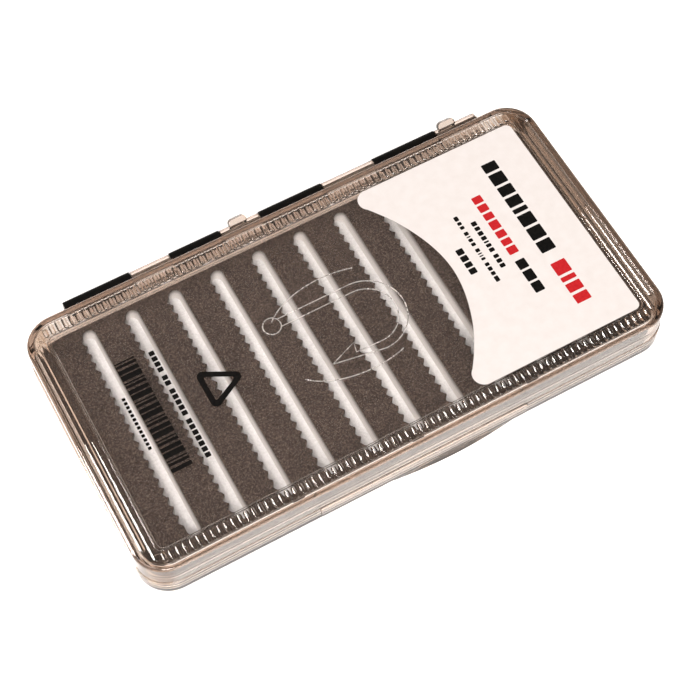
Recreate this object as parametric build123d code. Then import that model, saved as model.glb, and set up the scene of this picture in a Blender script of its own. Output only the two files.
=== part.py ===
from build123d import *
import os

# Slim clear fly box: a shallow base tray, a deeper hinged lid with a ribbed border round its
# window, and a slotted foam insert whose strips hold the hooks.
#
# Millimetres. +X runs along the long side, +Y points to the hinge, +Z is up. The origin is the
# centre of the underside, on the surface that the closed box rests on.

os.makedirs("parts", exist_ok=True)

# ---------------------------------------------------------------- driving dimensions
LENGTH = 162.0  # lid, along X
WIDTH = 84.0  # lid, along Y
HEIGHT = 15.0
CORNER_R = 9.3  # upright corners of the lid
PARTING_Z = 4.2  # where the lid meets the base
WALL = 1.3  # lid side wall
TOP_PLATE = 1.5  # lid top
RIM_ROUND = 1.2  # rounded top edge of the lid
BEAD_PROUD = 0.25  # lid's lower band and base stand this far outside the lid wall
BEAD_TOP_Z = 6.1

# ribbed border of the lid, as distances in from the lid's outline
BAND_OUTER = 2.0
BAND_INNER = 6.1
WINDOW_INSET = 6.4
UNDERSIDE_INSET = 6.9
CHANNEL_DEPTH = 0.55
WINDOW_DEPTH = 0.25
RIB_PITCH = 2.0
RIB_WIDTH = 1.5
RIB_HEIGHT = 0.5
RIB_GAP = 0.15  # from a rib's round end to the edge of its channel
WINDOW_CORNER_R = 2.0
EJECTOR_R = 2.0
EJECTOR_HEIGHT = 0.25

# base tray
FLOOR = 1.5
LIP_TOP_Z = 7.6
LIP_SIDE = 79.45  # outside of the upstanding lip, half length
LIP_FRONT = -40.45
LIP_REAR = 39.60  # set in, so that the lid's rear wall can swing past it
LIP_WALL = 1.1
LIP_WALL_REAR = 0.85
LIP_CORNER_R = 7.6
GROOVE_INSET = 3.5  # shallow groove round the flat underside
GROOVE_WIDTH = 1.2
GROOVE_DEPTH = 0.3
BASE_ROUND = 1.0

# front tongue that the thumb holds while the lid is lifted, and the lip under it
TONGUE_LEFT = -31.0
TONGUE_RIGHT = 33.2
TONGUE_TOP_Z = 5.8
TONGUE_PROUD = 0.3  # outside the base wall
TONGUE_GAP = 0.15  # to the notch in the lid
THUMB_CENTRE_X = 10.0
THUMB_CHORD = 37.0
THUMB_DEPTH = 1.3
THUMB_BOTTOM_Z = 0.3
THUMB_TOP_Z = 3.6

# foam insert
ADHESIVE = 0.1
BACKING = 1.0
FOAM = 4.4
INSERT_GAP = 0.15  # all round, to the tray's lip
SLOT_COUNT = 11
SLOT_PITCH = 13.36
FIRST_SLOT_X = -65.1  # tips of the toothed edge of the first slot
SLOT_WIDTH = 4.0
SLOT_FAR_Y = 37.0
SLOT_NEAR_Y = -35.2
END_SLOT_NEAR_Y = -33.0  # the first and last slots stop short at the near side
SLOT_END_R = 1.9
TOOTH_PITCH = 3.08
TOOTH_DEPTH = 1.0
TOOTH_COUNT = 23

# hinge: black barrels bonded into seats on the base, clear knuckles on the lid, one steel pin
HINGE_Y = 46.15
HINGE_Z = HEIGHT / 2  # half the height, so the opened lid lies flat on the table
BARREL_R = 2.0
KNUCKLE_R = 1.8
PIN_R = 0.8
PRESS = 0.02
RUNNING = 0.06
END_GAP = 0.2  # between a barrel and the next knuckle
BARREL_SPANS = [(-65.7, -44.8), (-32.4, -16.3), (-3.5, 17.1), (34.3, 55.3)]
KNUCKLE_SPANS = [(-44.8, -32.4), (-16.3, -3.5), (17.1, 34.3), (55.3, 69.0)]
LUG_CENTRES = [-10.2, 59.6]
LUG_WIDTH = 5.6
LUG_REACH = 3.6  # from the hinge axis, at 45 degrees up and back
LUG_THICKNESS = 2.0
LUG_ROUND = 1.3
SEAT_FOOT_Z = 0.9
SEAT_TOP_Z = 3.9
SEAT_REACH = 1.4  # depth of the seats' foot behind the base wall

# printed and stuck-on layers of the window
LABEL_THICKNESS = 0.1
INK = 0.05
EMBOSS_WIDTH = 0.5
EMBOSS_HEIGHT = 0.12

BASE_HALF_WIDTH = WIDTH / 2 + BEAD_PROUD
CHANNEL_Z = HEIGHT - CHANNEL_DEPTH
WINDOW_Z = HEIGHT - WINDOW_DEPTH
INSERT_Z = FLOOR + ADHESIVE
FOAM_Z = INSERT_Z + BACKING


# ---------------------------------------------------------------- shared shapes
def rounded_slab(x0, x1, y0, y1, radius, bottom, top):
    """A slab with rounded upright corners between two heights."""
    outline = RectangleRounded(x1 - x0, y1 - y0, radius)
    return Pos((x0 + x1) / 2, (y0 + y1) / 2, bottom) * extrude(outline, top - bottom)


def inset_slab(inset, radius, bottom, top):
    """A slab that follows the lid's outline, moved in by inset (or out, when negative)."""
    half_x = LENGTH / 2 - inset
    half_y = WIDTH / 2 - inset
    return rounded_slab(-half_x, half_x, -half_y, half_y, radius, bottom, top)


def box_between(x0, x1, y0, y1, z0, z1):
    """A plain block between two corners."""
    centre = Pos((x0 + x1) / 2, (y0 + y1) / 2, (z0 + z1) / 2)
    return centre * Box(x1 - x0, y1 - y0, z1 - z0)


def along_x(profile_yz, x0, x1):
    """Extrudes a sketch drawn as (y, z) from x0 to x1."""
    plane = Plane(origin=(x0, 0, 0), x_dir=(0, 1, 0), z_dir=(1, 0, 0))
    return extrude(plane * profile_yz, x1 - x0, dir=(1, 0, 0))


def hinge_rod(radius, x0, x1):
    """A round bar on the hinge axis."""
    return along_x(Pos(HINGE_Y, HINGE_Z) * Circle(radius), x0, x1)


# ---------------------------------------------------------------- lid
def rib_outline(x, y0, y1):
    """One rib of the border: a bar with round ends, parallel to Y."""
    centre = Pos(x, (y0 + y1) / 2)
    return centre * SlotOverall(y1 - y0, RIB_WIDTH, rotation=90)


def rib_outlines():
    """All the ribs: short ones in front of and behind the window, long ones beside it."""
    outlines = []
    half_x = LENGTH / 2 - BAND_OUTER - RIB_GAP
    band_far = WIDTH / 2 - BAND_OUTER - RIB_GAP
    band_near = WIDTH / 2 - BAND_INNER + RIB_GAP
    corner = CORNER_R - BAND_OUTER
    window_half = LENGTH / 2 - BAND_INNER
    steps = int((half_x - RIB_WIDTH / 2) / RIB_PITCH)
    for step in range(-steps, steps + 1):
        x = step * RIB_PITCH
        into_corner = max(0.0, abs(x) + RIB_WIDTH / 2 - (half_x - corner))
        reach = band_far - corner + (corner**2 - into_corner**2) ** 0.5
        if abs(x) < window_half:
            outlines.append(rib_outline(x, band_near, reach))
            outlines.append(rib_outline(x, -reach, -band_near))
        else:
            outlines.append(rib_outline(x, -reach, reach))
    return outlines


def ejector_points():
    """Centres of the round ejector pads under the lid's border."""
    near = [(x, -WIDTH / 2 + 2.9) for x in (-36.0, 0.0, 35.6)]
    far = [(x, WIDTH / 2 - 4.6) for x in (-34.3, 0.0, 35.6)]
    corners = [(x, y) for x in (-75.4, 75.4) for y in (-37.6, 37.6)]
    return near + far + corners + [(-77.0, -0.8), (77.0, -0.8)]


def hook_emblem():
    """A plain fish hook, drawn as raised lines on the window."""
    shank = Line((-17.5, 9.0), (8.0, 9.0))
    bend = ThreePointArc((8.0, 9.0), (18.0, -1.0), (8.0, -11.0))
    point = Line((8.0, -11.0), (-5.0, -8.6))
    barb = Line((-5.0, -8.6), (-0.5, -6.2))
    lines = trace(shank + bend + point + barb, EMBOSS_WIDTH)
    eye = Circle(2.75) - Circle(2.75 - EMBOSS_WIDTH)
    return Pos(0, 0, WINDOW_Z) * extrude(lines + Pos(-20.0, 9.0) * eye, EMBOSS_HEIGHT)


def knuckle(x0, x1):
    """One clear knuckle: a tongue from the lid's rear wall that ends round the pin."""
    root_y = WIDTH / 2 - 0.5
    arm = Pos((HINGE_Y + root_y) / 2, HINGE_Z) * Rectangle(HINGE_Y - root_y, 2 * KNUCKLE_R)
    outline = arm + Pos(HINGE_Y, HINGE_Z) * Circle(KNUCKLE_R)
    return along_x(outline, x0 + END_GAP / 2, x1 - END_GAP / 2)


def stop_lug(x):
    """An ear on a knuckle, pointing up and back while the lid is shut."""
    ear = RectangleRounded(LUG_WIDTH, 2 * LUG_REACH, LUG_ROUND)
    plane = Plane(origin=(x, HINGE_Y, HINGE_Z), x_dir=(1, 0, 0), z_dir=(0, -1, 1))
    block = extrude(plane * ear, LUG_THICKNESS / 2, both=True)
    inner_half = Plane(origin=(x, HINGE_Y, HINGE_Z), x_dir=(1, 0, 0), z_dir=(0, 1, 1))
    return split(block, bisect_by=inner_half, keep=Keep.TOP)


def make_lid():
    shell = inset_slab(0, CORNER_R, PARTING_Z, HEIGHT)
    shell = fillet(shell.faces().sort_by(Axis.Z)[-1].edges(), RIM_ROUND)
    shell += inset_slab(-BEAD_PROUD, CORNER_R + BEAD_PROUD, PARTING_Z, BEAD_TOP_Z)

    cavity = inset_slab(WALL, CORNER_R - WALL, PARTING_Z, HEIGHT - TOP_PLATE)
    cavity = fillet(cavity.faces().sort_by(Axis.Z)[-1].edges(), 0.8)
    shell -= cavity
    pocket_top = HEIGHT - TOP_PLATE + 0.25
    shell -= inset_slab(UNDERSIDE_INSET, WINDOW_CORNER_R, HEIGHT - TOP_PLATE - 0.1, pocket_top)

    channel = inset_slab(BAND_OUTER, CORNER_R - BAND_OUTER, CHANNEL_Z, HEIGHT)
    channel -= inset_slab(BAND_INNER, WINDOW_CORNER_R, CHANNEL_Z, HEIGHT)
    shell -= channel
    shell -= inset_slab(WINDOW_INSET, WINDOW_CORNER_R, WINDOW_Z, HEIGHT)

    ribs = [Pos(0, 0, CHANNEL_Z) * extrude(outline, RIB_HEIGHT) for outline in rib_outlines()]
    pad_z = HEIGHT - TOP_PLATE - EJECTOR_HEIGHT
    pads = [
        Pos(x, y, pad_z) * extrude(Circle(EJECTOR_R), EJECTOR_HEIGHT + 0.1)
        for x, y in ejector_points()
    ]
    pads = [pad & inset_slab(WALL / 2, CORNER_R - WALL / 2, pad_z, HEIGHT) for pad in pads]
    knuckles = [knuckle(x0, x1) for x0, x1 in KNUCKLE_SPANS]
    lugs = [stop_lug(x) for x in LUG_CENTRES]
    shell = shell.fuse(*ribs, *pads, *knuckles, *lugs, hook_emblem())

    notch_top = TONGUE_TOP_Z + TONGUE_GAP
    shell -= box_between(
        TONGUE_LEFT - TONGUE_GAP,
        TONGUE_RIGHT + TONGUE_GAP,
        -WIDTH,
        LIP_FRONT,
        0,
        notch_top,
    )
    return shell - hinge_rod(PIN_R + RUNNING, -LENGTH, LENGTH)


# ---------------------------------------------------------------- base
def thumb_lip():
    """A crescent swelling under the tongue: widest at the bottom, gone at its top."""
    half = THUMB_CHORD / 2
    edge_y = -BASE_HALF_WIDTH
    left = (THUMB_CENTRE_X - half, edge_y)
    right = (THUMB_CENTRE_X + half, edge_y)
    bulge = ThreePointArc(left, (THUMB_CENTRE_X, edge_y - THUMB_DEPTH), right)
    back = Polyline(right, (right[0], edge_y + 1.0), (left[0], edge_y + 1.0), left)
    crescent = make_face(bulge + back)
    block = Pos(0, 0, THUMB_BOTTOM_Z) * extrude(crescent, THUMB_TOP_Z - THUMB_BOTTOM_Z)
    slope = Plane(
        origin=(0, edge_y, THUMB_TOP_Z),
        x_dir=(1, 0, 0),
        z_dir=(0, -(THUMB_TOP_Z - THUMB_BOTTOM_Z - 0.8), THUMB_DEPTH),
    )
    return split(block, bisect_by=slope, keep=Keep.BOTTOM)


def tray_cavity_limits():
    """The inside of the tray's lip: x0, x1, y0, y1."""
    half = LIP_SIDE - LIP_WALL
    return -half, half, LIP_FRONT + LIP_WALL, LIP_REAR - LIP_WALL_REAR


def make_base():
    tray = inset_slab(-BEAD_PROUD, CORNER_R + BEAD_PROUD, 0, PARTING_Z)
    tray = fillet(tray.faces().sort_by(Axis.Z)[0].edges(), BASE_ROUND)
    lip = rounded_slab(-LIP_SIDE, LIP_SIDE, LIP_FRONT, LIP_REAR, LIP_CORNER_R, FLOOR, LIP_TOP_Z)
    tongue_face = -BASE_HALF_WIDTH - TONGUE_PROUD
    tongue = box_between(TONGUE_LEFT, TONGUE_RIGHT, tongue_face, LIP_FRONT, 1.2, TONGUE_TOP_Z)
    tongue = fillet(tongue.edges().filter_by(Axis.Y), 0.6)
    tray = tray.fuse(lip, tongue, thumb_lip(), *barrel_seats())

    tray -= rounded_slab(*tray_cavity_limits(), LIP_CORNER_R - LIP_WALL, FLOOR, HEIGHT)
    inner_inset = GROOVE_INSET + GROOVE_WIDTH
    groove = inset_slab(GROOVE_INSET, CORNER_R - GROOVE_INSET, 0, GROOVE_DEPTH)
    groove -= inset_slab(inner_inset, CORNER_R - inner_inset, 0, GROOVE_DEPTH)
    return tray.cut(groove)


# ---------------------------------------------------------------- hinge
def barrel_seats():
    """Clear brackets behind the base wall. Each one cups the lower side of a barrel."""
    face = BASE_HALF_WIDTH
    outline = [
        (face - 0.5, SEAT_FOOT_Z),
        (face - 0.5, SEAT_TOP_Z),
        (face + 0.5, SEAT_TOP_Z),
        (HINGE_Y - 1.95, HINGE_Z - 1.2),
        (HINGE_Y + 1.75, HINGE_Z - 1.4),
        (HINGE_Y + 1.45, HINGE_Z - 2.6),
        (face + SEAT_REACH, SEAT_FOOT_Z),
    ]
    section = Polygon(*outline, align=None) - Pos(HINGE_Y, HINGE_Z) * Circle(BARREL_R)
    return [along_x(section, x0 + END_GAP / 2, x1 - END_GAP / 2) for x0, x1 in BARREL_SPANS]


def make_barrel(x0, x1):
    """One black barrel, pressed on the pin."""
    barrel = along_x(Pos(HINGE_Y, HINGE_Z) * Circle(BARREL_R), x0 + END_GAP / 2, x1 - END_GAP / 2)
    barrel = fillet(barrel.edges().filter_by(GeomType.CIRCLE), 0.15)
    return barrel - hinge_rod(PIN_R - PRESS, -LENGTH, LENGTH)


def make_pin():
    pin = hinge_rod(PIN_R, BARREL_SPANS[0][0] - 0.3, KNUCKLE_SPANS[-1][1] + 0.6)
    return chamfer(pin.edges().filter_by(GeomType.CIRCLE), 0.2)


# ---------------------------------------------------------------- insert
def insert_slab(bottom, top):
    """A sheet that fills the tray inside its lip."""
    x0, x1, y0, y1 = tray_cavity_limits()
    radius = LIP_CORNER_R - LIP_WALL - INSERT_GAP
    gap = INSERT_GAP
    return rounded_slab(x0 + gap, x1 - gap, y0 + gap, y1 - gap, radius, bottom, top)


def slot_outline(near):
    """One slot, with its toothed edge on the left at x = 0 and rounded ends."""
    outline = RectangleRounded(SLOT_WIDTH, SLOT_FAR_Y - near, SLOT_END_R)
    slot = Pos(SLOT_WIDTH / 2, (SLOT_FAR_Y + near) / 2) * outline
    first = -(TOOTH_COUNT - 1) / 2 * TOOTH_PITCH
    half = TOOTH_PITCH / 2
    inside = 0.3
    notch = Polygon(
        (inside, -half), (inside, half), (0.0, half), (-TOOTH_DEPTH, 0.0), (0.0, -half), align=None
    )
    for index in range(TOOTH_COUNT):
        y = first + index * TOOTH_PITCH
        if y - half > near + SLOT_END_R:
            slot += Pos(0, y) * notch
    return slot


def make_foam():
    foam = insert_slab(FOAM_Z, FOAM_Z + FOAM)
    cutter = extrude(slot_outline(SLOT_NEAR_Y), FOAM)
    end_cutter = extrude(slot_outline(END_SLOT_NEAR_Y), FOAM)
    slots = []
    for index in range(SLOT_COUNT):
        shape = end_cutter if index in (0, SLOT_COUNT - 1) else cutter
        slots.append(Pos(FIRST_SLOT_X + index * SLOT_PITCH, 0, FOAM_Z) * shape)
    return foam.cut(*slots)


# ---------------------------------------------------------------- label and window print
def make_label():
    """The paper label: square on the right, swept in from two rounded tips on the left."""
    right = 73.6
    edge = 35.4
    round_r = 1.8
    tip = (24.6, edge)
    tip_side = (21.6, edge - 3.1)
    tip_end = (22.9, edge - 6.0)
    upper = Line((right - round_r, edge), tip)
    upper_tip = ThreePointArc(tip, tip_side, tip_end)
    sweep = Spline(
        tip_end,
        (31.4, 14.2),
        (34.2, 0.0),
        (31.4, -14.2),
        (tip_end[0], -tip_end[1]),
        tangents=[(0.75, -1.0), (-0.75, -1.0)],
    )
    lower_tip = ThreePointArc((tip_end[0], -tip_end[1]), (tip_side[0], -tip_side[1]), (tip[0], -edge))
    lower = Line((tip[0], -edge), (right - round_r, -edge))
    corner = round_r * (1 - 0.5**0.5)
    lower_corner = ThreePointArc(
        (right - round_r, -edge), (right - corner, -edge + corner), (right, -edge + round_r)
    )
    side = Line((right, -edge + round_r), (right, edge - round_r))
    upper_corner = ThreePointArc(
        (right, edge - round_r), (right - corner, edge - corner), (right - round_r, edge)
    )
    outline = [upper, upper_tip, sweep, lower_tip, lower, lower_corner, side, upper_corner]
    return Pos(0, 0, WINDOW_Z) * extrude(make_face(outline), LABEL_THICKNESS)


def stock_bars():
    """A stock-code patch of plain bars that encodes nothing."""
    bars = []
    x0, x1, half = -61.8, -55.8, 19.2
    y = half
    index = 0
    while y > -half + 1.6:
        thick = 0.45 + 0.4 * (index * 5 % 4)
        gap = 0.45 + 0.3 * (index * 3 % 2)
        bars.append(Pos((x0 + x1) / 2, y - thick / 2) * Rectangle(x1 - x0, thick))
        y -= thick + gap
        index += 1
    return bars


def block_row(x, height, length, counts, top):
    """A row of plain blocks along Y in place of a line of small print. counts groups them."""
    blocks = []
    gap = 0.42
    y = top
    for count in counts:
        for _ in range(count):
            blocks.append(Pos(x, y - length / 2) * RectangleRounded(height, length, 0.2))
            y -= length + gap
        y -= 0.95
    return blocks


def triangle_mark():
    """A plain rounded triangle outline that points along +X."""
    outer = fillet(Polygon((-6.2, 6.9), (-6.2, -6.9), (6.6, 0.0), align=None).vertices(), 1.6)
    inner = fillet(Polygon((-4.6, 4.2), (-4.6, -4.2), (3.3, 0.0), align=None).vertices(), 0.5)
    return Pos(-37.6, 0) * (outer - inner)


def make_window_print():
    shapes = stock_bars()
    shapes += block_row(-63.9, 1.0, 0.95, [13], 8.9)
    shapes += block_row(-51.2, 1.6, 1.45, [4, 2, 5, 7], 18.2)
    shapes.append(triangle_mark())
    solids = [Pos(0, 0, WINDOW_Z) * extrude(shape, INK) for shape in shapes]
    return Compound(solids)


# ---------------------------------------------------------------- output
NODES = {
    "base_tray": make_base,
    "foam_adhesive": lambda: insert_slab(FLOOR, INSERT_Z),
    "foam_backing": lambda: insert_slab(INSERT_Z, FOAM_Z),
    "slit_foam": make_foam,
    "hinge_pin": make_pin,
    "lid_shell": make_lid,
    "lid_label": make_label,
    "window_print": make_window_print,
}

for node, build in NODES.items():
    export_step(build(), f"parts/{node}.step")
for number, (start, end) in enumerate(BARREL_SPANS, start=1):
    export_step(make_barrel(start, end), f"parts/hinge_barrel_{number}.step")
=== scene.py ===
"""Slim slit-foam fly box: clear lid and base, foam insert, black hinge, label and window print.

Shapes are drawn in millimetres in the part's frame and turned into metres when they become meshes.
"""

import math
import random

import bmesh
import bpy
from mathutils import Matrix, Vector


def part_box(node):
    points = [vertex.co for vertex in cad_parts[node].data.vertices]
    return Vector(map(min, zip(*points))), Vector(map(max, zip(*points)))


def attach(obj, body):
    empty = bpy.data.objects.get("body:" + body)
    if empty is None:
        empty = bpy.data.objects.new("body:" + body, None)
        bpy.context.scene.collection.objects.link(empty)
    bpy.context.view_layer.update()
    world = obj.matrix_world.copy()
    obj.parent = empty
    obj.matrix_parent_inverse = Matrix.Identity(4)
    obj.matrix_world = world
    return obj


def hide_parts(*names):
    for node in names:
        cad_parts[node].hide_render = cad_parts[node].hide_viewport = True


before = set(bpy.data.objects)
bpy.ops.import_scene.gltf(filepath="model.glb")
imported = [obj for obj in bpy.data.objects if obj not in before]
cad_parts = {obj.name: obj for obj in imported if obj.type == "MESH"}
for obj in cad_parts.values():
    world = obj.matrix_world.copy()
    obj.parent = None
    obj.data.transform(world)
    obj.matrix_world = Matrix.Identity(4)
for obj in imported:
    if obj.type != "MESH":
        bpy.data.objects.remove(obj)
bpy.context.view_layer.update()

MM = 0.001
SEED = 260


def box_mm(node):
    """A CAD node's corners in millimetres."""
    low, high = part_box(node)
    return low / MM, high / MM


# ---------------------------------------------------------------- camera
CAMERA_PLACE = (-100.9, -199.2, 417.8)  # millimetres
CAMERA_TURN = -27.05  # degrees, as are tilt and roll
CAMERA_TILT = 28.04
CAMERA_ROLL = -1.88
CAMERA_LENS = 85.915  # focal length in millimetres, on a sensor 36 mm wide


def add_camera():
    """The camera, turned about the vertical, tilted up from straight down and rolled slightly."""
    data = bpy.data.cameras.new("view_camera")
    data.lens = CAMERA_LENS
    data.clip_start = 0.01
    camera = bpy.data.objects.new("view_camera", data)
    bpy.context.scene.collection.objects.link(camera)
    turn = Matrix.Rotation(math.radians(CAMERA_TURN), 4, "Z")
    tilt = Matrix.Rotation(math.radians(CAMERA_TILT), 4, "X")
    roll = Matrix.Rotation(math.radians(CAMERA_ROLL), 4, "Z")
    camera.matrix_world = Matrix.Translation(Vector(CAMERA_PLACE) * MM) @ turn @ tilt @ roll
    bpy.context.scene.camera = camera


add_camera()

# ---------------------------------------------------------------- dimensions, millimetres
lid_low, lid_high = box_mm("lid_shell")
foam_low, foam_high = box_mm("slit_foam")
backing_low, backing_high = box_mm("foam_backing")
label_low, label_high = box_mm("lid_label")
pin_low, pin_high = box_mm("hinge_pin")

BEAD = 0.25  # the bead along the lid's lower edge stands out by this much
HALF_X = lid_high.x - BEAD
HALF_Y = -lid_low.y - BEAD
TOP_Z = lid_high.z
PARTING_Z = lid_low.z
CLEAR_GAP = 0.02  # between clear faces and what touches them, so that light meets each face in turn
LID_EDGE_Z = PARTING_Z + 0.15  # the lid's lower edge, with the fine gap that shows round the box
BEAD_TOP_Z = 6.1
CORNER_R = 9.3
CORNER_STEPS = 12  # a quarter turn of a rounded rectangle
ROUND_STEPS = 8  # a half turn of a rib's or slot's end, or a quarter turn of a lug
WINDOW_R = 2.0
BAND_OUTER = 2.0  # the ribbed border lies between these two insets
BAND_INNER = 6.1
WINDOW_INSET = 6.4
PLATE_INSET = 8.0  # from here inwards the window is one flat plate
CHANNEL_Z = TOP_Z - 0.55
WINDOW_Z = label_low.z - CLEAR_GAP
RIM_ROUND = 1.2
WALL = 1.3
DRAFT = 0.45  # the lid's wall is this much thicker above the tray's lip
CEILING_Z = 13.5
POCKET_Z = 13.75
POCKET_INSET = 6.9
RIB_PITCH = 2.0
RIB_HALF = 0.75
RIB_DOME = 0.85  # share of a rib's half width that is round
RIB_BLUNT = 0.8  # below 1, a rib's top is fuller than a sine
RIB_END_SHARE = 0.4  # a rib's ends slope by this share of what its sides do
RIB_STEPS = 7
RIB_HEIGHT = 0.5
LEFT_RIB_HEIGHT = 0.22  # the long ribs on the left stand lower than the others
RIB_GAP = 0.15
HINGE_Y = (pin_low.y + pin_high.y) / 2
HINGE_Z = (pin_low.z + pin_high.z) / 2
KNUCKLE_R = 1.8
BORE_R = 0.86
END_GAP = 0.1
BARREL_R = 2.0
HINGE_STEPS = 20
BARRELS = [(-65.7, -44.8), (-32.4, -16.3), (-3.5, 17.1), (34.3, 55.3)]
KNUCKLES = [(-44.8, -32.4), (-16.3, -3.5), (17.1, 34.3), (55.3, 69.0)]
LUG_CENTRES = [-10.2, 59.6]
PAD_R = 2.0
FLOOR_Z = box_mm("foam_adhesive")[0].z - CLEAR_GAP  # the tray's floor, under the adhesive film
LIP_TOP_Z = 7.6
TONGUE = (-31.0, 33.2)
TONGUE_TOP_Z = 5.8
TONGUE_FOOT_Z = 1.2
TONGUE_PROUD = 0.3
CATCH_GAP = 0.15  # round the tongue in the lid's notch
NOTCH_INSET = 1.55
THUMB_X = 10.0
THUMB_HALF = 18.5
THUMB_DEPTH = 1.3


# ---------------------------------------------------------------- mesh helpers
def add_object(name, data):
    made = bpy.data.objects.new(name, data)
    bpy.context.scene.collection.objects.link(made)
    return made


def mesh_from(name, points, faces):
    """A closed mesh from points in millimetres, with its faces turned outwards."""
    data = bpy.data.meshes.new(name)
    data.from_pydata([Vector(p) * MM for p in points], [], faces)
    work = bmesh.new()
    work.from_mesh(data)
    bmesh.ops.recalc_face_normals(work, faces=work.faces)
    work.to_mesh(data)
    work.free()
    return add_object(name, data)


def loft(name, rings):
    """Joins rings of equal point counts with quads and closes both ends."""
    count = len(rings[0])
    points = [p for ring in rings for p in ring]
    faces = [list(range(count)), list(range(len(points) - count, len(points)))]
    for level in range(len(rings) - 1):
        start = level * count
        for k in range(count):
            after = (k + 1) % count
            faces.append([start + k, start + after, start + count + after, start + count + k])
    return mesh_from(name, points, faces)


def rounded_path(corners, steps=4):
    """A path of (a, b, radius) corners with each one rounded."""
    path = []
    last = len(corners) - 1
    for i, (a, b, radius) in enumerate(corners):
        here = Vector((a, b))
        if i in (0, last) or radius == 0:
            path.append(here)
            continue
        before = Vector(corners[i - 1][:2]) - here
        after = Vector(corners[i + 1][:2]) - here
        reach = min(radius, 0.48 * before.length, 0.48 * after.length)
        start = here + before.normalized() * reach
        end = here + after.normalized() * reach
        for s in range(steps + 1):
            t = s / steps
            path.append(start * (1 - t) ** 2 + here * 2 * t * (1 - t) + end * t**2)
    return path


def rounded_ring(x0, x1, y0, y1, radius, z):
    """Points of a level rounded rectangle, anticlockwise seen from above."""
    ring = []
    for cx, cy, start in ((x1, y1, 0), (x0, y1, 90), (x0, y0, 180), (x1, y0, 270)):
        mx = cx - radius if cx == x1 else cx + radius
        my = cy - radius if cy == y1 else cy + radius
        for k in range(CORNER_STEPS + 1):
            angle = math.radians(start + 90 * k / CORNER_STEPS)
            ring.append((mx + radius * math.cos(angle), my + radius * math.sin(angle), z))
    return ring


def combine(target, others, operation):
    """Unites the others with the target, or cuts them from it, and keeps the result as its mesh."""
    for other in others:
        change = target.modifiers.new("combine", "BOOLEAN")
        change.object = other
        change.operation = operation
        change.solver = "EXACT"
        graph = bpy.context.evaluated_depsgraph_get()
        data = bpy.data.meshes.new_from_object(target.evaluated_get(graph))
        target.modifiers.clear()
        target.data = data
        bpy.data.objects.remove(other)
    return target


def join(name, parts):
    """Makes one mesh of several closed shells that don't touch."""
    work = bmesh.new()
    for part in parts:
        work.from_mesh(part.data)
        bpy.data.objects.remove(part)
    data = bpy.data.meshes.new(name)
    work.to_mesh(data)
    work.free()
    return add_object(name, data)


def smooth(made, angle=35):
    """Smooth faces with crisp edges above the angle, and normals that follow the large faces."""
    data = made.data
    data.polygons.foreach_set("use_smooth", [True] * len(data.polygons))
    data.set_sharp_from_angle(angle=math.radians(angle))
    weighted = made.modifiers.new("weighted", "WEIGHTED_NORMAL")
    weighted.keep_sharp = True
    return made


def tidy_mesh(made, distance=0.0005):
    """Welds points closer than the distance, in millimetres, and drops what that leaves flat."""
    work = bmesh.new()
    work.from_mesh(made.data)
    bmesh.ops.remove_doubles(work, verts=work.verts, dist=distance * MM)
    bmesh.ops.dissolve_degenerate(work, edges=work.edges, dist=distance * MM)
    work.to_mesh(made.data)
    work.free()
    return made


def prism_x(name, section, x0, x1, bevel):
    """A bar along X. section(inset) gives its (y, z) points, and its ends are bevelled."""
    ends = ((x0, bevel), (x0 + bevel * 0.3, bevel * 0.3), (x0 + bevel, 0.0))
    levels = list(ends) + [(x0 + x1 - x, inset) for x, inset in reversed(ends)]
    return loft(name, [[(x, y, z) for y, z in section(inset)] for x, inset in levels])


# ---------------------------------------------------------------- lid
def lid_ring(inset, z):
    """A ring of the lid's shell. The rim follows the outline, and the window has corners of its own."""
    radius = CORNER_R - inset if inset < 5 else WINDOW_R
    x, y = HALF_X - inset, HALF_Y - inset
    return rounded_ring(-x, x, -y, y, radius, z)


def lid_body():
    """The lid's shell, drawn as one section from the window over the rim to the underside."""
    section = rounded_path([
        (PLATE_INSET, WINDOW_Z, 0),
        (WINDOW_INSET, WINDOW_Z, 0.1),
        (WINDOW_INSET, TOP_Z, 0.1),
        (BAND_INNER, TOP_Z, 0.1),
        (BAND_INNER, CHANNEL_Z, 0.1),
        (BAND_OUTER, CHANNEL_Z, 0.12),
        (BAND_OUTER, TOP_Z, 0.2),
        (0.0, TOP_Z, RIM_ROUND),
        (0.0, BEAD_TOP_Z, 0.15),
        (-BEAD, BEAD_TOP_Z, 0.12),
        (-BEAD, LID_EDGE_Z, 0.2),
        (WALL, LID_EDGE_Z, 0.2),
        (WALL, LIP_TOP_Z + 0.3, 0.4),
        (WALL + DRAFT, LIP_TOP_Z + 1.6, 0.4),
        (WALL + DRAFT, CEILING_Z, 0.6),
        (POCKET_INSET, CEILING_Z, 0.1),
        (POCKET_INSET, POCKET_Z, 0.1),
        (PLATE_INSET, POCKET_Z, 0),
    ])
    return loft("lid_clear", [lid_ring(inset, z) for inset, z in section])


def stadium(x, y0, y1, half, z):
    """Points of a bar outline with round ends, parallel to Y."""
    ring = []
    for cy, start in ((y1 - half, 0), (y0 + half, 180)):
        for k in range(ROUND_STEPS + 1):
            angle = math.radians(start + 180 * k / ROUND_STEPS)
            ring.append((x + half * math.cos(angle), cy + half * math.sin(angle), z))
    return ring


def rib(x, y0, y1, top=RIB_HEIGHT):
    """One rib of the border, with a steep foot and a low round top."""
    levels = [(0.0, -0.1), (0.0, 0.04)]
    for k in range(1, RIB_STEPS + 1):
        t = k / RIB_STEPS
        levels.append((RIB_HALF * RIB_DOME * t, top * math.sin(math.pi / 2 * t) ** RIB_BLUNT))
    rings = []
    for inset, height in levels:
        ends = inset * RIB_END_SHARE
        rings.append(stadium(x, y0 + ends, y1 - ends, RIB_HALF - inset, CHANNEL_Z + height))
    return loft("rib", rings)


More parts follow.
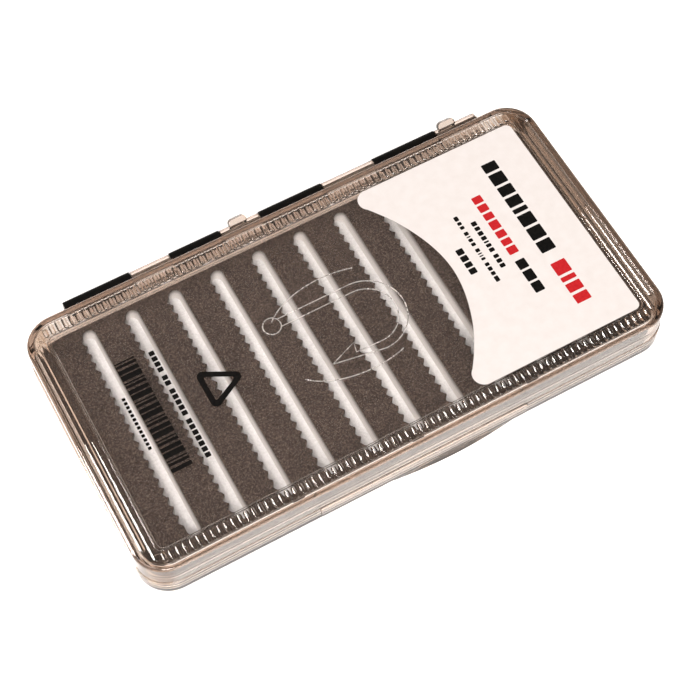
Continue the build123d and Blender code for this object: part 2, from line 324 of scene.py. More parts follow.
def lid_ribs():
    """Short ribs along both long sides, long ones down both ends, cut back at the round corners."""
    half_x = HALF_X - BAND_OUTER - RIB_GAP
    far = HALF_Y - BAND_OUTER - RIB_GAP
    near = HALF_Y - BAND_INNER + RIB_GAP
    corner = CORNER_R - BAND_OUTER
    steps = int((half_x - RIB_HALF) / RIB_PITCH)
    made = []
    for step in range(-steps, steps + 1):
        x = step * RIB_PITCH
        into_corner = max(0.0, abs(x) + RIB_HALF - (half_x - corner))
        reach = far - corner + math.sqrt(corner**2 - into_corner**2)
        if abs(x) < HALF_X - BAND_INNER:
            made += [rib(x, near, reach), rib(x, -reach, -near)]
        else:
            made.append(rib(x, -reach, reach, LEFT_RIB_HEIGHT if x < 0 else RIB_HEIGHT))
    return join("ribs", made)


def disc(x, y, radius, bottom, top):
    """A low round pad with a softened lower edge."""
    steps = 4 * ROUND_STEPS
    rings = []
    for inset, z in ((0.15, bottom), (0.05, bottom + 0.03), (0.0, bottom + 0.1), (0.0, top)):
        ring = []
        for k in range(steps):
            angle = math.radians(360 * k / steps)
            a, b = (radius - inset) * math.cos(angle), (radius - inset) * math.sin(angle)
            ring.append((x + a, y + b, z))
        rings.append(ring)
    return loft("disc", rings)


def ejector_pads():
    """Round ejector marks under the border: three on each long side, three at each end."""
    places = [(x, 2.9 - HALF_Y) for x in (-36.0, 0.0, 35.6)]
    places += [(x, HALF_Y - 4.6) for x in (-34.3, 0.0, 35.6)]
    places += [(x, y) for x in (-75.4, 75.4) for y in (-37.6, 37.6)]
    places += [(-77.0, -0.8), (77.0, -0.8)]
    return join("pads", [disc(x, y, PAD_R, CEILING_Z - 0.25, CEILING_Z + 0.1) for x, y in places])


def knuckle_section(inset):
    """Half a stadium: flat sides from the lid's wall that end round the hinge axis."""
    radius = KNUCKLE_R - inset
    points = [(HALF_Y - 0.5, HINGE_Z + radius), (HALF_Y - 0.5, HINGE_Z - radius)]
    for k in range(HINGE_STEPS + 1):
        angle = math.radians(-90 + 180 * k / HINGE_STEPS)
        points.append((HINGE_Y + radius * math.cos(angle), HINGE_Z + radius * math.sin(angle)))
    return points


def stop_lug(x):
    """The ear on a knuckle, 45 degrees up and back, with a rounded outer end."""
    outline = []
    half, reach, radius = 2.8, 3.6, 1.3
    slant = 0.7071  # sine and cosine of 45 degrees
    for cx, start in ((half - radius, 0), (radius - half, 90)):
        for k in range(ROUND_STEPS + 1):
            angle = math.radians(start + 90 * k / ROUND_STEPS)
            outline.append((cx + radius * math.cos(angle), reach - radius + radius * math.sin(angle)))
    outline += [(-half, 0.0), (half, 0.0)]
    rings = []
    levels = ((0.3, -1.0), (0.08, -0.92), (0.0, -0.7), (0.0, 0.7), (0.08, 0.92), (0.3, 1.0))
    for inset, height in levels:
        share = (half - inset) / half
        rings.append([(x + a * share, HINGE_Y + (b - inset) * slant - height * slant,
                       HINGE_Z + (b - inset) * slant + height * slant) for a, b in outline])
    return loft("lug", rings)


def tube(name, points, radius, cyclic=False):
    """A round bar along points in millimetres, or a closed ring of it."""
    data = bpy.data.curves.new(name, "CURVE")
    data.dimensions = "3D"
    data.bevel_depth = radius * MM
    data.bevel_resolution = 3
    data.use_fill_caps = not cyclic
    spline = data.splines.new("POLY")
    spline.points.add(len(points) - 1)
    for knot, point in zip(spline.points, points):
        knot.co = (*(Vector(point) * MM), 1.0)
    spline.use_cyclic_u = cyclic
    curve = add_object(name, data)
    graph = bpy.context.evaluated_depsgraph_get()
    mesh = bpy.data.meshes.new_from_object(curve.evaluated_get(graph))
    bpy.data.objects.remove(curve)
    return tidy_mesh(add_object(name, mesh))


EMBLEM_LINE_R = 0.16
EMBLEM_FLATNESS = 0.8


def raised_line(points, cyclic=False):
    """One raised line of the emblem, slightly flattened and sunk to its middle in the window."""
    made = tube("line", [(x, y, 0.0) for x, y in points], EMBLEM_LINE_R, cyclic)
    for vertex in made.data.vertices:
        vertex.co.z = WINDOW_Z * MM + vertex.co.z * EMBLEM_FLATNESS
    return made


def arc(x, y, rx, ry, start, end, steps=40):
    """Points of an elliptical arc, with its angles in degrees."""
    turns = [math.radians(start + (end - start) * k / steps) for k in range(steps + 1)]
    return [(x + rx * math.cos(turn), y + ry * math.sin(turn)) for turn in turns]


def make_emblem():
    """A plain fish hook in double lines between two ripples, moulded on the window."""
    point = (-9.5, -9.6)
    barb = [(-2.0, -9.4), (-1.2, -6.4)]
    ring = arc(-18.5, 9.0, 2.6, 2.6, 0, 360)[:-1]
    outer = [(-16.2, 10.3), (2.0, 10.3)] + arc(6.0, -1.0, 11.3, 11.3, 90, -90) + [point]
    inner = [(-16.2, 7.7), (2.0, 7.7)] + arc(6.0, -1.0, 8.7, 8.7, 90, -90) + barb + [point]
    ripples = [arc(0.0, 4.0, 21.0, 12.0, 62, 150), arc(0.0, -4.0, 21.0, 12.0, -150, -62)]
    lines = [raised_line(ring, True)] + [raised_line(points) for points in [outer, inner] + ripples]
    return smooth(join("emblem", lines))


def catch_notch():
    """What the lid's front wall leaves free for the tongue."""
    sides = (TONGUE[0] - CATCH_GAP, TONGUE[1] + CATCH_GAP, -60, NOTCH_INSET - HALF_Y, 0.05)
    return loft("notch", [rounded_ring(*sides, z) for z in (0, TONGUE_TOP_Z + CATCH_GAP)])


def make_lid():
    """Shell, ribs, ejector marks, knuckles and lugs in one piece, less the notch and the pin's bore."""
    lid = lid_body()
    combine(lid, [lid_ribs(), ejector_pads()], "UNION")
    for x0, x1 in KNUCKLES:
        combine(lid, [prism_x("knuckle", knuckle_section, x0 + END_GAP, x1 - END_GAP, 0.2)], "UNION")
    combine(lid, [stop_lug(x) for x in LUG_CENTRES], "UNION")
    bore = tube("bore", [(-90, HINGE_Y, HINGE_Z), (90, HINGE_Y, HINGE_Z)], BORE_R)
    combine(lid, [catch_notch(), bore], "DIFFERENCE")
    return smooth(tidy_mesh(lid))


# ---------------------------------------------------------------- base
BASE_X, BASE_Y, BASE_R = HALF_X + BEAD, HALF_Y + BEAD, CORNER_R + BEAD
LIP_SETBACK = 0.85  # the lip's outer face stands this much further in at the hinge side


def base_ring(inset, z):
    """A ring of the tray. The lip's rings are set further in along the hinge side."""
    rear = BASE_Y - inset
    if z > PARTING_Z + 0.3 or (inset > 2.4 and z > 1.0):
        share = min(1.0, max(0.0, (inset - 1.8) / 1.1))
        rear -= LIP_SETBACK - 0.25 * share
    x = BASE_X - inset
    return rounded_ring(-x, x, inset - BASE_Y, rear, BASE_R - inset, z)


SEAT_TOP_Z = 3.9  # where the seat's foot meets the base wall
SEAT_FOOT_Z = 0.9
SEAT_HOLLOW = (-38.0, -148.0)  # the hollow's ends as angles round the hinge axis


def seat_section(inset):
    """The seat under a barrel: foot on the base wall, a lip on each side and a round hollow."""
    near_lip = (HINGE_Y - 1.95 + inset, HINGE_Z - 1.2 - inset, 0)
    far_lip = (HINGE_Y + 1.75 - inset, HINGE_Z - 1.4 - inset, 0)
    foot = [
        (BASE_Y + 0.5, SEAT_TOP_Z - inset, 0.3),
        (BASE_Y - 0.5, SEAT_TOP_Z - inset, 0),
        (BASE_Y - 0.5, SEAT_FOOT_Z + inset, 0),
        (BASE_Y + 1.4 - inset, SEAT_FOOT_Z + inset, 0.2),
        (HINGE_Y + 1.45 - inset, HINGE_Z - 2.6 + inset, 0.4),
    ]
    points = [tuple(p) for p in rounded_path([near_lip, *foot, far_lip])]
    radius = BARREL_R + CLEAR_GAP + inset
    start, end = SEAT_HOLLOW
    for k in range(CORNER_STEPS + 1):
        angle = math.radians(start + (end - start) * k / CORNER_STEPS)
        points.append((HINGE_Y + radius * math.cos(angle), HINGE_Z + radius * math.sin(angle)))
    return points


def tray_tongue():
    """The raised tongue at the front, with softened edges on its outer face."""
    face = -BASE_Y - TONGUE_PROUD
    rings = []
    for inset, y in ((0.0, 2.0 - BASE_Y), (0.0, face + 0.25), (0.08, face + 0.07), (0.25, face)):
        x0, x1 = TONGUE[0] + inset, TONGUE[1] - inset
        level = rounded_ring(x0, x1, TONGUE_FOOT_Z + inset, TONGUE_TOP_Z - inset, 0.6, 0.0)
        rings.append([(x, y, z) for x, z, _ in level])
    return loft("tongue", rings)


def make_base():
    """Tray, tongue, thumb lip and barrel seats in one piece. The section runs from the floor over
    the lip and down the wall to the underside, which has a shallow groove."""
    section = rounded_path([
        (6.0, FLOOR_Z, 0),
        (2.9, FLOOR_Z, 0.4),
        (2.9, LIP_TOP_Z, 0.25),
        (1.8, LIP_TOP_Z, 0.25),
        (1.8, PARTING_Z, 0.2),
        (0.0, PARTING_Z, 0.2),
        (0.0, 0.0, 1.0),
        (3.75, 0.0, 0.1),
        (3.75, 0.3, 0.1),
        (4.95, 0.3, 0.1),
        (4.95, 0.0, 0.1),
        (6.0, 0.0, 0),
    ])
    tray = loft("tray_clear", [base_ring(inset, z) for inset, z in section])
    tongue = tray_tongue()
    seats = [prism_x("seat", seat_section, x0 + END_GAP, x1 - END_GAP, 0.15) for x0, x1 in BARRELS]
    return smooth(tidy_mesh(combine(tray, [tongue, thumb_lip()] + seats, "UNION")))


def thumb_lip():
    """The crescent under the tongue, deepest near its foot."""
    steps = 48
    levels = ((0.3, 0.80), (0.38, 0.92), (0.55, 0.99), (0.8, 1.0), (1.5, 0.76), (2.5, 0.40), (3.6, 0.02))
    rings = []
    for z, share in levels:
        ring = []
        for k in range(steps + 1):
            t = -1 + 2 * k / steps
            depth = THUMB_DEPTH * share * (1 - t * t)
            ring.append((THUMB_X + THUMB_HALF * t, -BASE_Y + 0.02 - depth, z))
        ring += [(THUMB_X + THUMB_HALF, 1.0 - BASE_Y, z), (THUMB_X - THUMB_HALF, 1.0 - BASE_Y, z)]
        rings.append(ring)
    return loft("thumb", rings)


# ---------------------------------------------------------------- foam insert
SLOT_COUNT = 11
SLOT_PITCH = 13.36
FIRST_SLOT_X = -65.1
SLOT_WIDTH = 4.0
SLOT_FAR = 37.0
SLOT_NEAR = -35.2
SLOT_END_R = 1.9
PLAIN_POINTS = 2 * (ROUND_STEPS + 1)  # a slot's first points, which make its plain right side
TOOTH_PITCH = 3.08
TOOTH_DEPTH = 1.0
TOOTH_COUNT = 23
SLIT_LENGTH = 3.4
END_SLOT_NEAR = -33.0  # the first and last slots stop short at the near side
FOAM_R = 6.35
FOAM_SOFT = 0.16  # rounding of the foam's outer edges
SLOT_SOFT = 0.015  # rounding of the slots' edges
BACKING_SOFT = 0.1
BACKING_GAP = 0.01  # between the backing and the foam on it
FOAM_CREASE = 50  # edges above this angle stay crisp
WALL_LEAN = 0.8  # the plain wall of a slot slopes in by this much at its foot


def slot_outline(x, near, rng):
    """One slot, clockwise: smooth right side, toothed left side with a slit behind each tooth."""
    points = []
    right = x + SLOT_WIDTH
    for cx, cy, start in ((right - SLOT_END_R, SLOT_FAR - SLOT_END_R, 90),
                          (right - SLOT_END_R, near + SLOT_END_R, 0)):
        for k in range(ROUND_STEPS + 1):
            angle = math.radians(start - 90 * k / ROUND_STEPS)
            points.append((cx + SLOT_END_R * math.cos(angle), cy + SLOT_END_R * math.sin(angle)))
    for k in range(1, ROUND_STEPS + 1):
        angle = math.radians(270 - 90 * k / ROUND_STEPS)
        points.append((x + SLOT_END_R + SLOT_END_R * math.cos(angle),
                       near + SLOT_END_R + SLOT_END_R * math.sin(angle)))
    first = -(TOOTH_COUNT - 1) / 2 * TOOTH_PITCH
    for index in range(TOOTH_COUNT):
        y = first + index * TOOTH_PITCH + rng.uniform(-0.12, 0.12)
        if y - 1.5 < near + SLOT_END_R:
            continue
        depth = x - TOOTH_DEPTH + rng.uniform(-0.14, 0.1)
        slit = depth - SLIT_LENGTH + rng.uniform(-0.4, 0.4)
        points += [(x + rng.uniform(-0.1, 0.1), y - 1.45), (x - rng.uniform(0.2, 0.45), y - 1.1)]
        points += [(x - rng.uniform(0.55, 0.8), y - 0.62), (depth, y - 0.12)]
        points += [(depth - 0.15, y - 0.015), (slit, y - 0.008)]
        points += [(slit, y + 0.008), (depth - 0.15, y + 0.015)]
        points += [(depth, y + 0.12), (x - rng.uniform(0.55, 0.8), y + 0.62)]
        points += [(x - rng.uniform(0.2, 0.45), y + 1.1), (x + rng.uniform(-0.1, 0.1), y + 1.45)]
    for k in range(ROUND_STEPS + 1):
        angle = math.radians(180 - 90 * k / ROUND_STEPS)
        points.append((x + SLOT_END_R + SLOT_END_R * math.cos(angle),
                       SLOT_FAR - SLOT_END_R + SLOT_END_R * math.sin(angle)))
    return points


def shifted(outline, inset):
    """The outline moved towards its left-hand side, which is where the solid lies."""
    moved = []
    count = len(outline)
    for k in range(count):
        here = Vector(outline[k])
        before = (here - Vector(outline[k - 1])).normalized()
        after = (Vector(outline[(k + 1) % count]) - here).normalized()
        side = Vector((-before.y - after.y, before.x + after.x))
        side = side.normalized() if side.length > 0.01 else Vector((-before.y, before.x))
        reach = inset / max(0.5, side.dot(Vector((-after.y, after.x))))
        moved.append(here + side * reach)
    return moved


def filled_plate(name, outlines, bottom, top, softs, wall_index=0, lean=0.0, leaning=0):
    """A plate between two heights. The first outline is anticlockwise, the others are clockwise holes.

    softs gives the rounding of the outer edge and of the holes' edges. The walls of the holes get
    their own material index. The first few points of each hole, as many as leaning says, lean
    towards -X at the foot.
    """
    work = bmesh.new()
    lows, highs = [], []
    for index, outline in enumerate(outlines):
        soft = softs[min(index, 1)]
        levels = ((soft, bottom), (soft * 0.3, bottom + soft * 0.3), (0.0, bottom + soft))
        levels += ((0.0, top - soft), (soft * 0.3, top - soft * 0.3), (soft, top))
        rings = []
        for inset, z in levels:
            foot = lean * (top - z) / (top - bottom) if index else 0.0
            ring = []
            for k, p in enumerate(shifted(outline, inset)):
                ring.append(work.verts.new(((p.x - foot * (k < leaning)) * MM, p.y * MM, z * MM)))
            rings.append(ring)
        count = len(outline)
        for one, two in zip(rings, rings[1:]):
            for k in range(count):
                after = (k + 1) % count
                face = work.faces.new((one[k], one[after], two[after], two[k]))
                face.material_index = wall_index if index else 0
        lows += [work.edges.get((rings[0][k - 1], rings[0][k])) for k in range(count)]
        highs += [work.edges.get((rings[-1][k - 1], rings[-1][k])) for k in range(count)]
    for edges in (lows, highs):
        bmesh.ops.triangle_fill(work, use_beauty=True, edges=edges)
    bmesh.ops.recalc_face_normals(work, faces=work.faces)
    data = bpy.data.meshes.new(name)
    work.to_mesh(data)
    work.free()
    return add_object(name, data)


def make_foam():
    """The grey sheet, with its slots cut right through."""
    rng = random.Random(SEED)
    outer = [(x, y) for x, y, _ in rounded_ring(
        foam_low.x, foam_high.x, foam_low.y, foam_high.y, FOAM_R, 0.0)]
    slots = []
    for k in range(SLOT_COUNT):
        near = END_SLOT_NEAR if k in (0, SLOT_COUNT - 1) else SLOT_NEAR
        slots.append(slot_outline(FIRST_SLOT_X + k * SLOT_PITCH, near, rng))
    plate = filled_plate("foam_insert", [outer] + slots, foam_low.z, foam_high.z,
                         (FOAM_SOFT, SLOT_SOFT), 1, WALL_LEAN, PLAIN_POINTS)
    return smooth(plate, FOAM_CREASE)


def make_backing():
    """The white sheet that shows through the slots."""
    outer = [(x, y) for x, y, _ in rounded_ring(
        backing_low.x, backing_high.x, backing_low.y, backing_high.y, FOAM_R, 0.0)]
    plate = filled_plate("backing_sheet", [outer], backing_low.z, backing_high.z - BACKING_GAP,
                         (BACKING_SOFT, BACKING_SOFT))
    return smooth(plate, FOAM_CREASE)


# ---------------------------------------------------------------- label print
INK_HEIGHT = 0.03


def bar(x, y_far, y_near, width, bottom):
    """One printed bar along Y, with softened corners."""
    radius = min(0.3, width * 0.3)
    rings = []
    for inset, z in ((0.0, bottom), (0.0, bottom + INK_HEIGHT * 0.5), (0.03, bottom + INK_HEIGHT)):
        rings.append(rounded_ring(x - width / 2 + inset, x + width / 2 - inset,
                                  y_near + inset, y_far - inset, radius, z))
    return loft("block", rings)


def block_row(x, y_far, width, lengths, gap, top):
    """A row of printed blocks from y_far towards the front. A length of None is a space."""
    blocks = []
    y = y_far
    for length in lengths:
        if length is None:
            y -= gap * 1.5
            continue
        blocks.append(bar(x, y, y - length, width, top))
        y -= length + gap
    return blocks


def label_print():
    """Rows of plain blocks in place of the label's words."""
    top = label_high.z
    black = block_row(61.0, 26.4, 4.6, [3.2, 4.1, 3.4, 3.4, 1.6, 4.1, 4.3, 3.9], 0.85, top)
    black += block_row(52.0, -6.0, 3.0, [3.2, 3.6, 3.4], 0.7, top)
    long_row = [1.5, 1.3, 1.4, 1.3, 0.6, 1.1, 1.3, None, 1.2, 1.3, 1.3]
    thin_row = [1.6, 1.1, 1.1, None, 1.2, 0.4, 1.1, 1.1, None, 1.2, 0.4, 0.4, 0.8, None, 1.1, 1.3, 1.2, 1.9]
    black += block_row(47.0, 11.1, 1.6, long_row, 0.45, top)
    black += block_row(43.4, 15.0, 1.3, thin_row, 0.45, top)
    black += block_row(38.8, 5.2, 2.2, [2.0, 1.9, 1.7, 1.9], 0.5, top)
    red = block_row(61.0, -11.6, 4.6, [4.4, 1.6, 3.0, 3.0], 0.85, top)
    red += block_row(52.0, 18.1, 3.0, [2.5, 2.5, 2.3, 3.0, 2.4, 2.2, 2.6], 0.7, top)
    return smooth(join("print_black", black)), smooth(join("print_red", red))


# ---------------------------------------------------------------- materials
class Shader:
    """A material's node tree, with a short call for each kind of node used here."""

    def __init__(self, name):
        self.material = bpy.data.materials.new(name)
        self.material.use_nodes = True
        self.tree = self.material.node_tree
        self.tree.nodes.clear()
        self.output = self.node("ShaderNodeOutputMaterial")
        self.place = self.node("ShaderNodeTexCoord").outputs["Object"]

    def node(self, kind, **values):
        made = self.tree.nodes.new(kind)
        for key, value in values.items():
            setattr(made, key, value)
        return made

    def link(self, source, target):
        self.tree.links.new(source, target)

    def mapped(self, scale):
        """Object coordinates stretched by a scale for each axis."""
        mapping = self.node("ShaderNodeMapping")
        mapping.inputs["Scale"].default_value = scale
        self.link(self.place, mapping.inputs["Vector"])
        return mapping.outputs["Vector"]

    def noise(self, scale, detail=3.0, roughness=0.55, place=None):
        made = self.node("ShaderNodeTexNoise")
        made.inputs["Scale"].default_value = scale
        made.inputs["Detail"].default_value = detail
        made.inputs["Roughness"].default_value = roughness
        self.link(place or self.place, made.inputs["Vector"])
        return made.outputs["Fac"]

    def ramp(self, factor, stops):
        """A colour ramp of (position, colour) stops, where a colour may be one number."""
        made = self.node("ShaderNodeValToRGB")
        band = made.color_ramp
        while len(band.elements) < len(stops):
            band.elements.new(0.5)
        for element, (position, colour) in zip(band.elements, stops):
            element.position = position
            rgb = colour if isinstance(colour, tuple) else (colour,) * 3
            element.color = (*rgb, 1.0)
        self.link(factor, made.inputs["Fac"])
        return made.outputs["Color"]

    def multiply(self, one, two):
        made = self.node("ShaderNodeMix", data_type="RGBA", blend_type="MULTIPLY")
        made.inputs["Factor"].default_value = 1.0
        self.link(one, made.inputs["A"])
        self.link(two, made.inputs["B"])
        return made.outputs["Result"]

    def facing(self, axis):
        """How far the surface faces along one axis of its own piece, from -1 to 1."""
        split = self.node("ShaderNodeSeparateXYZ")
        self.link(self.node("ShaderNodeTexCoord").outputs["Normal"], split.inputs["Vector"])
        return split.outputs[axis]

    def math(self, operation, value, other=0.0):
        made = self.node("ShaderNodeMath", operation=operation)
        made.inputs[1].default_value = other
        self.link(value, made.inputs[0])
        return made.outputs["Value"]

    def bump(self, height, strength, distance):
        made = self.node("ShaderNodeBump")
        made.inputs["Strength"].default_value = strength
        made.inputs["Distance"].default_value = distance * MM
        self.link(height, made.inputs["Height"])
        return made.outputs["Normal"]

    def principled(self, color, roughness, normal=None, **constants):
        """The surface shader. Colour and roughness come from nodes, the constants are set on it."""
        made = self.node("ShaderNodeBsdfPrincipled")
        self.link(color, made.inputs["Base Color"])
        self.link(roughness, made.inputs["Roughness"])
        if normal:
            self.link(normal, made.inputs["Normal"])
        for key, value in constants.items():
            made.inputs[key.replace("_", " ")].default_value = value
        return made.outputs["BSDF"]

    def finish(self, surface):
        self.link(surface, self.output.inputs["Surface"])
        return self.material


HINGED_FROM = HALF_Y + BEAD + 0.3  # knuckles, lugs and seats lie behind this, and are thick
THICK_TINT = (0.83, 0.74, 0.68)
RIGHT_FROM = HALF_X - BAND_INNER  # the right-hand border starts here
RAMP_SCALE = 10.0  # spreads metres over a colour ramp, whose positions run from 0 to 1
DEPTH_TINT = (0.60, 0.45, 0.34)
DEPTH_DENSITY = 110.0
NO_TINT = (1.0, 1.0, 1.0)


def clear_plastic(name, pale, warm, slope_shade, front_shade, right_shade, through, steep_share):
    """Polished clear polystyrene, between pale and warm, with haze that varies and fine scratches.

    Faces that slope sideways take slope_shade, painted shade that darkens the ribs and roundings;
    faces that slope slightly to the front take front_shade, a painted dark strip along the front rim;
    and the right-hand border takes right_shade, painted shade. Light passes level faces by the share
    through, and steep ones by steep_share of that. The tint in the depth grows with the thickness of
    plastic.
    """
    s = Shader(name)
    sideways = s.math("ABSOLUTE", s.facing("X"))
    frontways = s.math("MULTIPLY", s.facing("Y"), -1.0)
    level = s.math("ABSOLUTE", s.facing("Z"))
    # Painted shade: sideways slopes such as the ribs' flanks, and faces turned slightly to the front, are
    # darkened.
    slope_shade_ramp = s.ramp(sideways, [(0.1, 1.0), (0.35, slope_shade), (0.95, slope_shade), (0.99, 1.0)])
    front_shade_ramp = s.ramp(frontways, [(0.04, 1.0), (0.12, front_shade), (0.50, front_shade), (0.62, 1.0)])
    spot = s.node("ShaderNodeSeparateXYZ")
    s.link(s.place, spot.inputs["Vector"])
    thick = s.ramp(spot.outputs["Y"], [(HINGED_FROM * MM, 1.0), ((HINGED_FROM + 0.6) * MM, THICK_TINT)])
    spread = s.math("MULTIPLY", spot.outputs["X"], RAMP_SCALE)
    border = RIGHT_FROM * MM * RAMP_SCALE
    # Painted shade over the right-hand border.
    right = s.ramp(spread, [(border, 1.0), (border + 0.4 * MM * RAMP_SCALE, right_shade)])
    color = s.multiply(s.ramp(s.noise(35.0, 2.0), [(0.3, pale), (0.7, warm)]), s.multiply(slope_shade_ramp, front_shade_ramp))
    color = s.multiply(color, s.multiply(thick, right))
    haze = s.ramp(s.noise(60.0, 4.0), [(0.35, 0.015), (0.75, 0.06)])
    scratch = s.ramp(s.noise(900.0, 2.0, 0.5, s.mapped((0.05, 1.0, 1.0))), [(0.0, 1.0), (1.0, 1.25)])
    rough = s.multiply(haze, scratch)
    normal = s.bump(s.noise(28.0, 1.0), 0.04, 0.4)
    plastic = s.principled(color, rough, normal, IOR=1.56, Transmission_Weight=1.0)
    steep = tuple(steep_share * part for part in through)
    passed = s.ramp(level, [(0.6, steep), (0.99, through)])
    clear = s.node("ShaderNodeBsdfTransparent")
    s.link(passed, clear.inputs["Color"])
    path = s.node("ShaderNodeLightPath")
    mix = s.node("ShaderNodeMixShader")
    s.link(path.outputs["Is Shadow Ray"], mix.inputs["Fac"])
    s.link(plastic, mix.inputs[1])
    s.link(clear.outputs["BSDF"], mix.inputs[2])
    depth = s.node("ShaderNodeVolumeAbsorption")
    depth.inputs["Color"].default_value = (*DEPTH_TINT, 1.0)
    depth.inputs["Density"].default_value = DEPTH_DENSITY
    s.link(depth.outputs["Volume"], s.output.inputs["Volume"])
    return s.finish(mix.outputs["Shader"])


def foam_colour(s, dark, mid, light, grain):
    """The colour of foam: fine cells with soft blotches."""
    cells = s.ramp(s.noise(grain, 4.0, 0.75), [(0.36, dark), (0.5, mid), (0.64, light)])
    blotch = s.ramp(s.noise(140.0, 3.0), [(0.3, 0.88), (0.7, 1.0)])
    return s.multiply(cells, blotch)


def foam_material(name, dark, mid, light, grain, foot_bounce_light=None):
    """Closed-cell foam: fine cells, soft blotches and no gloss.

    With foot_bounce_light, the colour at the foot of a cut wall, the wall pales towards the sheet below:
    painted light that the white sheet throws up the cut walls.
    """
    s = Shader(name)
    color = foam_colour(s, dark, mid, light, grain)
    # Painted light: the cut walls pale towards their foot, as if lit by the white sheet below.
    if foot_bounce_light:
        split = s.node("ShaderNodeSeparateXYZ")
        s.link(s.place, split.inputs["Vector"])
        height = s.node("ShaderNodeMapRange")
        height.inputs["From Min"].default_value = foam_low.z * MM
        height.inputs["From Max"].default_value = foam_high.z * MM
        s.link(split.outputs["Z"], height.inputs["Value"])
        share = s.ramp(height.outputs["Result"], [(0.0, 0.0), (0.5, 0.3), (0.95, 1.0)])
        mix = s.node("ShaderNodeMix", data_type="RGBA")
        mix.inputs["A"].default_value = (*foot_bounce_light, 1.0)
        s.link(share, mix.inputs["Factor"])
        s.link(color, mix.inputs["B"])
        color = mix.outputs["Result"]
    rough = s.ramp(s.noise(400.0, 2.0), [(0.3, 0.86), (0.7, 0.98)])
    normal = s.bump(s.noise(grain * 0.8, 5.0, 0.7), 0.6, 0.15)
    return s.finish(s.principled(color, rough, normal, Specular_IOR_Level=0.2))


def matte_material(name, dark, light, rough, grain, depth, under=1.0, **constants):
    """A moulded, printed or paper surface with slight mottling and a fine texture.

    Faces that point down in the closed box are darker by the factor under.
    """
    s = Shader(name)
    color = s.ramp(s.noise(grain, 3.0), [(0.3, dark), (0.7, light)])
    color = s.multiply(color, s.ramp(s.facing("Z"), [(0.0, under), (0.3, 1.0)]))
    finish = s.ramp(s.noise(grain * 0.5, 3.0), [(0.3, rough[0]), (0.7, rough[1])])
    normal = s.bump(s.noise(grain * 2.0, 3.0), 0.3, depth)
    return s.finish(s.principled(color, finish, normal, **constants))


def steel_material(name):
    """Drawn stainless wire, with fine lines along X."""
    s = Shader(name)
    lines = s.noise(3000.0, 3.0, 0.6, s.mapped((0.03, 1.0, 1.0)))
    color = s.ramp(lines, [(0.3, (0.48, 0.47, 0.46)), (0.7, (0.66, 0.65, 0.64))])
    rough = s.ramp(lines, [(0.3, 0.2), (0.7, 0.36)])
    return s.finish(s.principled(color, rough, s.bump(lines, 0.2, 0.02), Metallic=1.0))


GREY_FOAM = ((0.009, 0.006, 0.0045), (0.037, 0.026, 0.021), (0.102, 0.072, 0.060), 1900.0)
MATERIALS = {
    # The lid's slope, front and right shades are painted shade; the base paints shade on its slopes only.
    "clear_lid": clear_plastic(
        "clear_lid", (0.99, 0.985, 0.98), (0.975, 0.965, 0.955), slope_shade=(0.68, 0.56, 0.46),
        front_shade=(0.25, 0.23, 0.22), right_shade=(0.58, 0.51, 0.46), through=(0.94, 0.93, 0.92),
        steep_share=0.4),
    "clear_base": clear_plastic(
        "clear_base", (0.91, 0.895, 0.88), (0.89, 0.87, 0.85), slope_shade=(0.85, 0.76, 0.68),
        front_shade=NO_TINT, right_shade=NO_TINT, through=(0.92, 0.90, 0.885), steep_share=0.9),
    # Whitish raised lines: partly a matt frosted finish, partly painted highlight along their whole length.
    "frost_and_highlight": matte_material(
        "frost_and_highlight", (0.80, 0.77, 0.74), (0.92, 0.89, 0.86), (0.2, 0.35), 700.0, 0.004,
        Transmission_Weight=0.75),
    "grey_foam": foam_material("grey_foam", *GREY_FOAM),
    # The walls' pale foot is painted light bounced from the white sheet.
    "grey_foam_wall": foam_material("grey_foam_wall", *GREY_FOAM, foot_bounce_light=(0.60, 0.58, 0.57)),
    "white_foam": foam_material(
        "white_foam", (0.57, 0.57, 0.58), (0.65, 0.65, 0.66), (0.71, 0.71, 0.72), 1500.0),
    "adhesive_film": matte_material(
        "adhesive_film", (0.78, 0.76, 0.70), (0.86, 0.84, 0.79), (0.45, 0.6), 500.0, 0.01),
    "black_plastic": matte_material(
        "black_plastic", (0.002, 0.002, 0.002), (0.006, 0.005, 0.004), (0.45, 0.6), 700.0, 0.01,
        Specular_IOR_Level=0.05),
    "steel": steel_material("steel"),
    "label_paper": matte_material(
        "label_paper", (0.745, 0.69, 0.665), (0.78, 0.73, 0.71), (0.55, 0.7), 350.0, 0.004,
        under=0.5, Specular_IOR_Level=0.3),
    "black_ink": matte_material(
        "black_ink", (0.003, 0.003, 0.003), (0.008, 0.007, 0.006), (0.5, 0.65), 1500.0, 0.003,
        Specular_IOR_Level=0.04),
    "red_ink": matte_material(
        "red_ink", (0.46, 0.010, 0.014), (0.56, 0.018, 0.022), (0.5, 0.65), 1500.0, 0.003,
        Specular_IOR_Level=0.1),
}


def place(made, body, slot, replaced=None, look=None):
    """Gives a piece its look's material, or else its slot's, puts it under its body and hides the CAD node
    it replaces, if any.
    """
    made.data.materials.append(MATERIALS[look or slot])
    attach(made, body)
    if replaced:
        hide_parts(replaced)
    return made


place(make_lid(), "lid", "clear_lid", "lid_shell")
place(make_base(), "base", "clear_base", "base_tray")
# The emblem's whitish lines are partly painted highlight.
place(make_emblem(), "lid", "clear_lid", look="frost_and_highlight")
foam = place(make_foam(), "base", "grey_foam", "slit_foam")
foam.data.materials.append(MATERIALS["grey_foam_wall"])
place(make_backing(), "base", "white_foam", "foam_backing")
print_black, print_red = label_print()
place(print_black, "lid", "black_ink")
place(print_red, "lid", "red_ink")

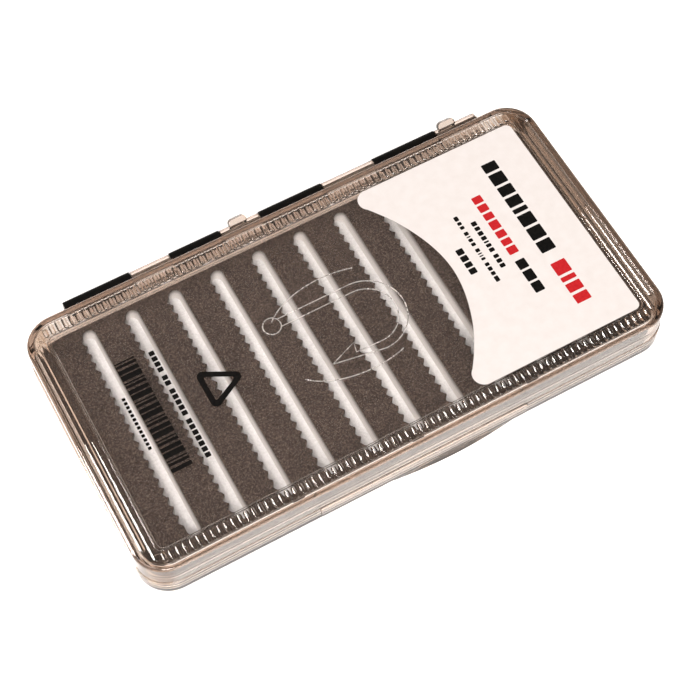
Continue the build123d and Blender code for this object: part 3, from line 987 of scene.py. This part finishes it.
CARRIED = {
    "foam_adhesive": "adhesive_film",
    "hinge_barrel_1": "black_plastic",
    "hinge_barrel_2": "black_plastic",
    "hinge_barrel_3": "black_plastic",
    "hinge_barrel_4": "black_plastic",
    "hinge_pin": "steel",
    "lid_label": "label_paper",
    "window_print": "black_ink",
}
for node, material in CARRIED.items():
    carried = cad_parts[node]
    carried.data.materials.clear()
    carried.data.materials.append(MATERIALS[material])


# ---------------------------------------------------------------- floor, light and world
def add_floor():
    """A wide pale floor just under the box. It gives off some light, so the clear plastic shows pale."""
    half, depth = 3000.0, -0.05
    corners = [(-half, -half, depth), (half, -half, depth), (half, half, depth), (-half, half, depth)]
    floor = mesh_from("floor", corners, [[0, 1, 2, 3]])
    floor.data.materials.append(matte_material(
        "floor", (0.90, 0.90, 0.90), (0.92, 0.92, 0.92), (0.85, 0.95), 6.0, 0.0, Specular_IOR_Level=0.1,
        Emission_Color=(1.0, 0.98, 0.96, 1.0), Emission_Strength=0.5))


def add_lamp(name, toward, distance, size, power, color=(1.0, 1.0, 1.0), use="all", long_axis=None):
    """A soft box in a direction from the object.

    A lamp for gloss only shows in reflections, and one for matt surfaces doesn't show in them. The
    long axis is the direction of the second size.
    """
    data = bpy.data.lights.new(name, "AREA")
    data.shape = "RECTANGLE"
    data.size, data.size_y = size
    data.energy = power
    data.color = color
    lamp = add_object(name, data)
    away = Vector(toward).normalized()
    up = Vector(long_axis) if long_axis else Vector((0.0, 0.0, 1.0))
    across = up.cross(away).normalized()
    turn = Matrix((across, away.cross(across), away)).transposed().to_4x4()
    lamp.matrix_world = Matrix.Translation(away * distance) @ turn
    if use == "gloss":
        lamp.visible_diffuse = False
        lamp.visible_transmission = False
    if use == "matt":
        lamp.visible_glossy = False


add_floor()
WARM = (1.0, 0.975, 0.955)
add_lamp("key", (-0.30, -0.62, 0.78), 1.5, (0.5, 0.5), 19.0, WARM)
add_lamp("over", (-0.45, 0.05, 0.9), 1.5, (0.6, 0.6), 5.0)
add_lamp("card", (-0.66, 0.365, 0.65), 1.2, (0.15, 1.3), 17.0, WARM, "gloss", (0.70, 0.0, 0.71))
add_lamp("back", (0.35, 0.85, 0.55), 1.5, (1.2, 0.8), 5.0, WARM, "matt")

world = bpy.data.worlds.new("studio")
world.use_nodes = True
sky = world.node_tree
direction = sky.nodes.new("ShaderNodeTexCoord")
split = sky.nodes.new("ShaderNodeSeparateXYZ")
sky.links.new(direction.outputs["Generated"], split.inputs["Vector"])
shade = sky.nodes.new("ShaderNodeValToRGB")
shade.color_ramp.elements[0].position = 0.30
shade.color_ramp.elements[0].color = (0.95, 0.88, 0.82, 1.0)
shade.color_ramp.elements[1].position = 0.80
shade.color_ramp.elements[1].color = (0.16, 0.15, 0.14, 1.0)
sky.links.new(split.outputs["Z"], shade.inputs["Fac"])
sky.links.new(shade.outputs["Color"], sky.nodes["Background"].inputs["Color"])
bpy.context.scene.world = world
bpy.context.scene.view_settings.view_transform = "Standard"
